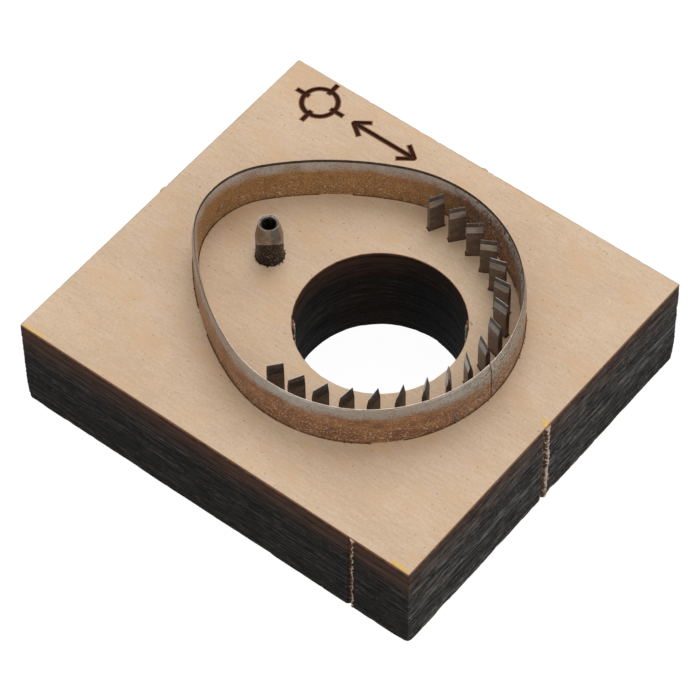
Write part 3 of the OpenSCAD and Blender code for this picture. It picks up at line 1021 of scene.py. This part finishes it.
class DIE_OT_blades(bpy.types.Operator):
    """Build the slit blades with their ground bevels"""
    bl_idname = "die.blades"
    bl_label = "Slit blades"

    def execute(self, context):
        die = context.scene.die
        size, angles, c = in_mm(die.sizes), die.angles, die.colours
        dice = random.Random(SEED)
        # Painted reflection on the faces and bevels comes from the bright layer, and a painted highlight at
        # the edge from the burnt layer
        materials = [
            dark_oxide("black_oxide_blade_steel", c.blade_oxide, c.painted_blade_reflection, c.dust, 0.5),
            ground_edge("ground_blade_bevel", c.shaded_blade_bevel, c.lit_blade_bevel, c.dust, 0.3, 0.15),
            dark_oxide("burnt_blade_edge", c.ground_pale, c.scale, c.dust, 0.35, "burnt"),
        ]
        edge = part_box(BLADES[0])[1].z / MM
        shoulder = edge - size.slit_bevel
        levels = spread(0.0, BOARD_T, 4.0) + spread(BOARD_T, shoulder, 1.5)[1:]
        levels += spread(shoulder, edge - size.burnt_h, 0.6)[1:] + [edge - size.edge_line, edge]
        rows = section(size.slit_t, edge, size.slit_bevel, size.edge_land, levels)
        top = len(rows) - 1
        slots = [2 if k >= top - 2 else int(rows[k][0] >= shoulder - 1e-6) for k in range(top)]
        frames = blade_frames(size, angles)
        for number, (name, x, y, turn) in enumerate(frames):
            # Painted reflection: faces and bevels are lit on the blades at the far right and shaded on those
            # at the near left, and some bevels get more painted shade
            painted_reflection = step_up(1 - number / len(frames), 0.2, 0.65) * dice.uniform(0.8, 1.0)
            glint = 0.8 if number in GLINTING else 0.1
            bevel_shade = 0.36 if number in SHADED_BEVELS else 0.05
            along = Vector((math.cos(turn), math.sin(turn), 0))
            across = Vector((-along.y, along.x, 0))
            tilt = dice.uniform(-0.03, 0.03)
            burr = dice.uniform(0.0, 9.0)
            bm = bmesh.new()
            bright = bm.verts.layers.float.new("bright")
            burnt = bm.verts.layers.float.new("burnt")
            columns = []
            for p in spread(-size.slit_w / 2, size.slit_w / 2, 0.3):
                nick = max(0.0, 0.02 + tilt * p / size.slit_w + 0.03 * max(0, wave(1.6 * p, burr, 0)))
                column = []
                for level, (z, wide) in enumerate(rows):
                    middle = Vector((x, y, z - nick if level == top else z)) + along * p
                    column.append([bm.verts.new(middle + across * wide * side) for side in (-1, 1)])
                    for vert in column[-1]:
                        vert[bright] = painted_reflection * (1.0 - bevel_shade if z > shoulder - 0.01 else 1.0)
                        # The burnt layer eases off along the very edge: a painted highlight
                        vert[burnt] = 1.0 - max(glint * painted_reflection, 0.7 * (1.0 - painted_reflection)) if level == top else 1.0
                columns.append(column)
            strip_faces(bm, columns, [0] * (len(columns) - 1), [(slot, slot) for slot in slots])
            make_piece("ground_" + name, bm, materials, "blade_steel", name, sharp=8)
        return {"FINISHED"}


class DIE_OT_punch(bpy.types.Operator):
    """Build the hollow punch with its two bevels and its blackened base"""
    bl_idname = "die.punch"
    bl_label = "Hollow punch"

    def execute(self, context):
        die = context.scene.die
        size, c = in_mm(die.sizes), die.colours
        bore = BORE["r_mm"]
        land = BORE["length_mm"] + size.punch_mouth
        r = PUNCH_R
        cone = RULE_H - size.punch_cone
        relief = bore + 0.3
        outer, inner = size.punch_edge + size.edge_land / 2, size.punch_edge - size.edge_land / 2
        profile = [(relief, z) for z in (RULE_H - land - 0.01, 8.0, 0.0)] + [(r, 0.0), (r, 8.0)]
        profile += [(r, z) for z in spread(BOARD_T - 0.3, cone - 0.1, 0.1)]
        slope = (r - outer) / size.punch_cone
        profile += [(outer + slope * (RULE_H - z), z) for z in spread(cone, RULE_H - 0.04, 0.1)]
        profile += [(outer, RULE_H), (inner, RULE_H)]
        for k in (0.66, 0.33, 0.0):
            profile.append((bore + (inner - bore) * k, RULE_H - size.punch_mouth * (1 - k)))
        profile += [(bore, z) for z in (RULE_H - 1.5, RULE_H - 3.0, RULE_H - land)]
        count = 96
        front = die.angles.front_turn
        bm = bmesh.new()
        bright = bm.verts.layers.float.new("bright")
        rings = []
        for radius, z in profile:
            ring = []
            for i in range(count):
                turn = math.tau * i / count
                x, y = math.cos(turn), math.sin(turn)
                rough = 0.0
                if radius > relief + 0.1 and z > BOARD_T - 0.4:
                    low = step_up(BOARD_T + 2.2 - z, 0.0, 2.2)
                    rough = 0.012 * wave(5 * x, 5 * y, 4 * z) + 0.1 * low * wave(4 * x, 4 * y, 3.5 * z)
                    rough += 0.1 * step_up(BOARD_T + 0.8 - z, 0.0, 0.8)
                nick = 0.16 * max(0.0, wave(3.4 * x, 3.4 * y, 6.0)) if z == RULE_H else 0.0
                out = radius + rough
                vert = bm.verts.new((PUNCH.x + out * x, PUNCH.y + out * y, z - nick))
                # Painted highlight on the far side of the punch's mouth, and painted shade on its side toward
                # the camera
                vert[bright] = 0.6 * step_up(-math.cos(turn - front), -0.6, 0.5)
                ring.append(vert)
            rings.append(ring)
        for k, (radius, z) in enumerate(profile):
            mouth = radius <= inner and z > RULE_H - 0.2
            for i, face in enumerate(join_loops(bm, rings[k], rings[(k + 1) % len(rings)])):
                turn = math.tau * (i + 0.5) / count
                # The black base reaches higher on the side toward the camera: painted shade over the real
                # black base
                ground = size.punch_bright + 1.0 - 2.1 * max(0.0, math.cos(turn - front))
                ground += 0.25 * wave(2 * math.cos(turn), 2 * math.sin(turn), 8.0)
                face.material_index = 2 if mouth else 0 if z > RULE_H - ground and radius > relief else 1
        bmesh.ops.recalc_face_normals(bm, faces=bm.faces)
        materials = [
            ground_edge("turned_punch_steel", c.punch_steel, c.punch_steel, c.dust, 0.28, 0.6),
            dark_oxide("black_oxide_punch_base", c.punch_oxide, c.punch_oxide, c.dust, 0.8),
            ground_edge("worn_punch_mouth", c.scale, c.punch_steel, c.dust, 0.4, 0.6),
        ]
        make_piece("hollow_punch", bm, materials, "punch_steel", "hole_punch", sharp=30)
        return {"FINISHED"}


class DIE_OT_crumbs(bpy.types.Operator):
    """Scatter the crumbs of char that lie along the rule, round the punch and by the hole"""
    bl_idname = "die.crumbs"
    bl_label = "Char crumbs"

    def execute(self, context):
        die = context.scene.die
        size = in_mm(die.sizes)
        arcs = egg_arcs(size)
        dice = random.Random(SEED)
        spots = []
        for _ in range(die.stage.crumbs):
            side = dice.choice((-1, 1, 1))
            out = side * (size.rule_t / 2 + dice.uniform(0.02, 0.28))
            at = egg_point(arcs, dice.uniform(0, egg_length(arcs)), out)
            spots.append((at.x, at.y, dice.uniform(0.04, 0.11)))
        for _ in range(60):
            turn = dice.uniform(0, math.tau)
            away = PUNCH_R + dice.uniform(0.0, 0.2) + 0.35 * dice.random() ** 4
            near = PUNCH.x + away * math.cos(turn), PUNCH.y + away * math.sin(turn)
            spots.append((*near, dice.uniform(0.05, 0.14)))
        for _, x, y, _ in blade_frames(size, die.angles):
            for _ in range(3):
                near = x + dice.uniform(-2.6, 2.6), y + dice.uniform(-2.6, 2.6)
                spots.append((*near, dice.uniform(0.02, 0.06)))
        way = Vector((math.cos(die.angles.stub_turn), math.sin(die.angles.stub_turn)))
        for _ in range(14):
            at = Vector((HOLE_X, 0)) + way * (HOLE_R + 0.15 + 1.5 * dice.random() ** 2)
            near = at.x + dice.uniform(-0.3, 0.3), at.y + dice.uniform(-0.3, 0.3)
            spots.append((*near, dice.uniform(0.03, 0.07)))
        bm = bmesh.new()
        for x, y, r in spots:
            made = bmesh.ops.create_icosphere(bm, subdivisions=1, radius=r)["verts"]
            flat_by = dice.uniform(0.5, 0.9)
            for vert in made:
                vert.co *= dice.uniform(0.75, 1.15)
                vert.co.z *= flat_by
                vert.co += Vector((x, y, BOARD_T + r * flat_by * 0.6))
        c = die.colours
        crumb = dark_oxide("char_crumbs", c.char_brown, c.char_brown, c.veneer_deep, 0.5)
        make_piece("char_crumbs", bm, [crumb], "birch_plywood", sharp=60)
        return {"FINISHED"}


# Stage


def seen_white(tree):
    """1 for the rays that the eye follows straight, off metal or through a hole, else 0."""
    kinds = ("Is Camera Ray", "Is Glossy Ray", "Is Transmission Ray")
    seen = 0.0
    for kind in kinds:
        ray = add(tree, "LightPath", {}, out=kind)
        seen = add(tree, "Math", {0: seen, 1: ray}, operation="MAXIMUM")
    return seen


def studio_paper(stage):
    """Matt white paper that stays white to the eye and keeps a soft shadow."""
    material, tree, _ = new_material("studio_paper")
    matt = add(tree, "BsdfPrincipled", {"Base Color": stage.paper, "Roughness": 0.9})
    glow = add(tree, "Emission", {"Color": (1, 1, 1, 1), "Strength": 1.05})
    share = add(tree, "Math", {0: seen_white(tree), 1: 0.92}, **TIMES)
    both = add(tree, "MixShader", {0: share, 1: matt, 2: glow})
    add(tree, "OutputMaterial", {"Surface": both})
    return material


def white_tent(stage):
    """World that lights evenly from all round and looks white."""
    world = bpy.data.worlds.new("white_tent")
    bpy.context.scene.world = world
    world.use_nodes = True
    tree = world.node_tree
    tree.nodes.clear()
    level = add(tree, "Mix", {0: seen_white(tree), 2: stage.tent, 3: 1.0})
    sky = add(tree, "Background", {"Color": (1, 1, 1, 1), "Strength": level})
    add(tree, "OutputWorld", {"Surface": sky})


def soft_lamp(name, place, aim, side, power):
    """A square soft box that faces the die."""
    lamp = bpy.data.lights.new(name, "AREA")
    lamp.size = side
    lamp.energy = power
    obj = bpy.data.objects.new(name, lamp)
    obj.location = place
    obj.rotation_euler = (Vector(aim) - Vector(place)).to_track_quat("-Z", "Y").to_euler()
    bpy.context.scene.collection.objects.link(obj)


class DIE_OT_stage(bpy.types.Operator):
    """Build the paper, the light and the camera"""
    bl_idname = "die.stage"
    bl_label = "Stage"

    def execute(self, context):
        stage = context.scene.die.stage
        mesh = bpy.data.meshes.new("studio_floor")
        bm = bmesh.new()
        bmesh.ops.create_grid(bm, x_segments=2, y_segments=2, size=3.0)
        bm.to_mesh(mesh)
        bm.free()
        mesh.materials.append(studio_paper(stage))
        floor = bpy.data.objects.new("studio_floor", mesh)
        context.scene.collection.objects.link(floor)
        white_tent(stage)
        soft_lamp("key_softbox", (-0.25, 0.45, 0.75), (0, 0, 0), 0.6, stage.key)
        soft_lamp("fill_softbox", (0.7, 0.0, 0.45), (0, 0, 0), 0.5, stage.fill)

        az, el = stage.azimuth, stage.elevation
        back = Vector((math.sin(az) * math.cos(el), -math.cos(az) * math.cos(el), math.sin(el)))
        right = Vector((math.cos(az), math.sin(az), 0))
        turn = Matrix.Rotation(stage.roll, 3, back)
        right = turn @ right
        up = back.cross(right)
        camera = bpy.data.cameras.new("camera")
        camera.lens = stage.lens
        camera.sensor_width = 36.0
        camera.clip_start = 0.01
        obj = bpy.data.objects.new("camera", camera)
        axes = Matrix((right, up, back)).transposed().to_4x4()
        obj.matrix_world = Matrix.Translation(Vector(stage.aim) + back * stage.distance) @ axes
        context.scene.collection.objects.link(obj)
        context.scene.camera = obj
        context.scene.view_settings.view_transform = "Standard"
        return {"FINISHED"}


class DieSettings(bpy.types.PropertyGroup):
    """All the settings of the die."""
    sizes: PointerProperty(name="Sizes", description="Sizes of the pieces", type=DieSizes)
    angles: PointerProperty(name="Angles", description="Directions of the pieces", type=DieAngles)
    colours: PointerProperty(name="Colours", description="Colours of the finishes", type=DieColours)
    stage: PointerProperty(name="Stage", description="Camera and light", type=DieStage)


OPERATORS = (
    DIE_OT_stage, DIE_OT_board, DIE_OT_residue, DIE_OT_rule, DIE_OT_blades, DIE_OT_punch, DIE_OT_crumbs)


class DIE_PT_panel(bpy.types.Panel):
    """Sidebar panel with a button for each step and the settings below"""
    bl_idname = "DIE_PT_panel"
    bl_label = "Steel rule die"
    bl_space_type = "VIEW_3D"
    bl_region_type = "UI"
    bl_category = "Die"

    def draw(self, context):
        die = context.scene.die
        for operator in OPERATORS:
            self.layout.operator(operator.bl_idname)
        for group in (die.sizes, die.angles, die.colours, die.stage):
            box = self.layout.box()
            for name in group.__annotations__:
                box.prop(group, name)


CLASSES = (DieSizes, DieAngles, DieColours, DieStage, DieSettings, *OPERATORS, DIE_PT_panel)


def register():
    for cls in CLASSES:
        bpy.utils.register_class(cls)
    bpy.types.Scene.die = PointerProperty(type=DieSettings)


def unregister():
    del bpy.types.Scene.die
    for cls in reversed(CLASSES):
        bpy.utils.unregister_class(cls)


def main():
    """Builds every piece in order."""
    register()
    bpy.ops.die.stage()
    bpy.ops.die.board()
    bpy.ops.die.residue()
    bpy.ops.die.rule()
    bpy.ops.die.blades()
    bpy.ops.die.punch()
    bpy.ops.die.crumbs()


if __name__ == "__main__":
    main()
